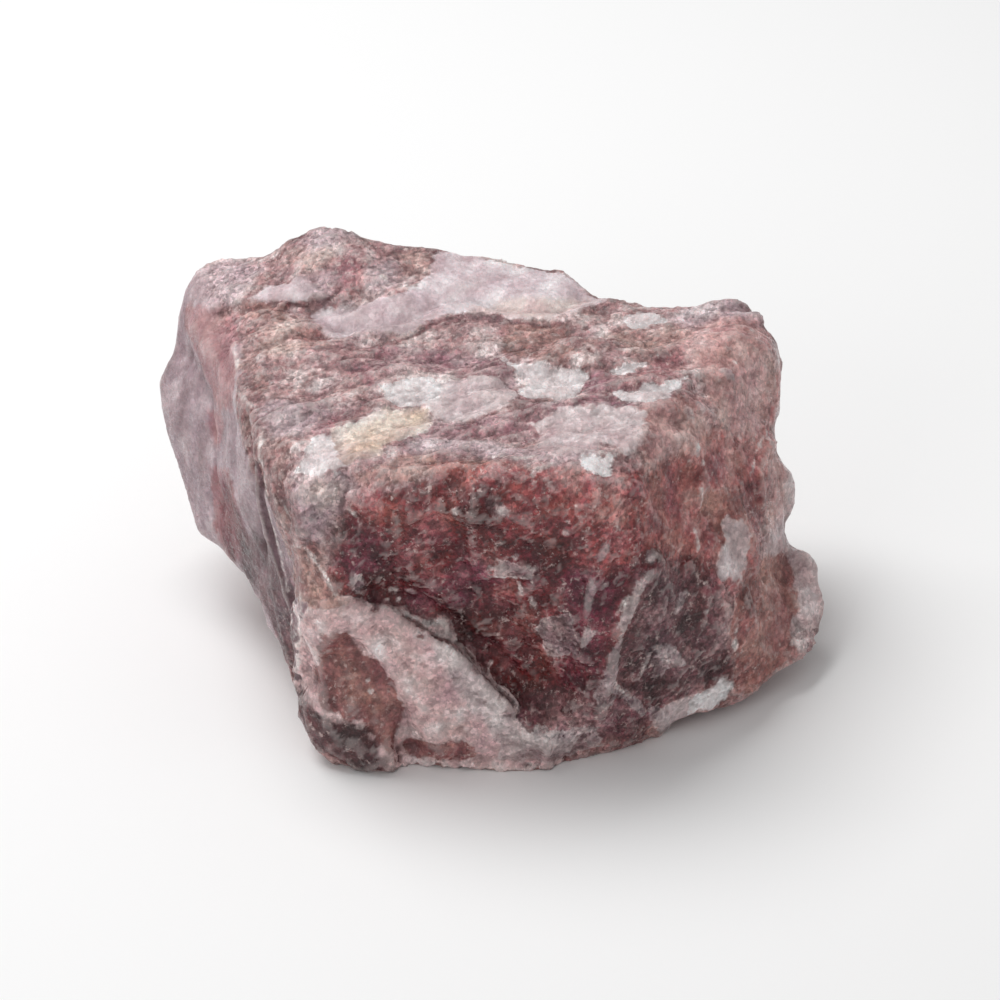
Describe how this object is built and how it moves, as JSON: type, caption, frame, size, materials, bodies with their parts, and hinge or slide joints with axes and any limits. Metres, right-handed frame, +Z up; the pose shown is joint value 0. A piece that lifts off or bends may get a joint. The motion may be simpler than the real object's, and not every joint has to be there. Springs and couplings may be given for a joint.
{
  "type": "rough strawberry quartz",
  "caption": "Rough broken lump of strawberry quartz with a flat underside, a natural mineral specimen to stand on a shelf, a desk or a collection stand.",
  "frame": {"origin": "middle of the stone's outline seen from above, on the level that it rests on", "axes": "+Z up; -Y out of the broad dark broken face; +X to the right of someone who faces it, along the stone's length"},
  "size_m": [0.0828, 0.0612, 0.0426],
  "materials": {
    "broken_quartz": "freshly broken, granular, with smooth glossy sheets"
  },
  "bodies": {
    "root": {"strawberry_quartz": "broken_quartz"}
  },
  "joints": []
}
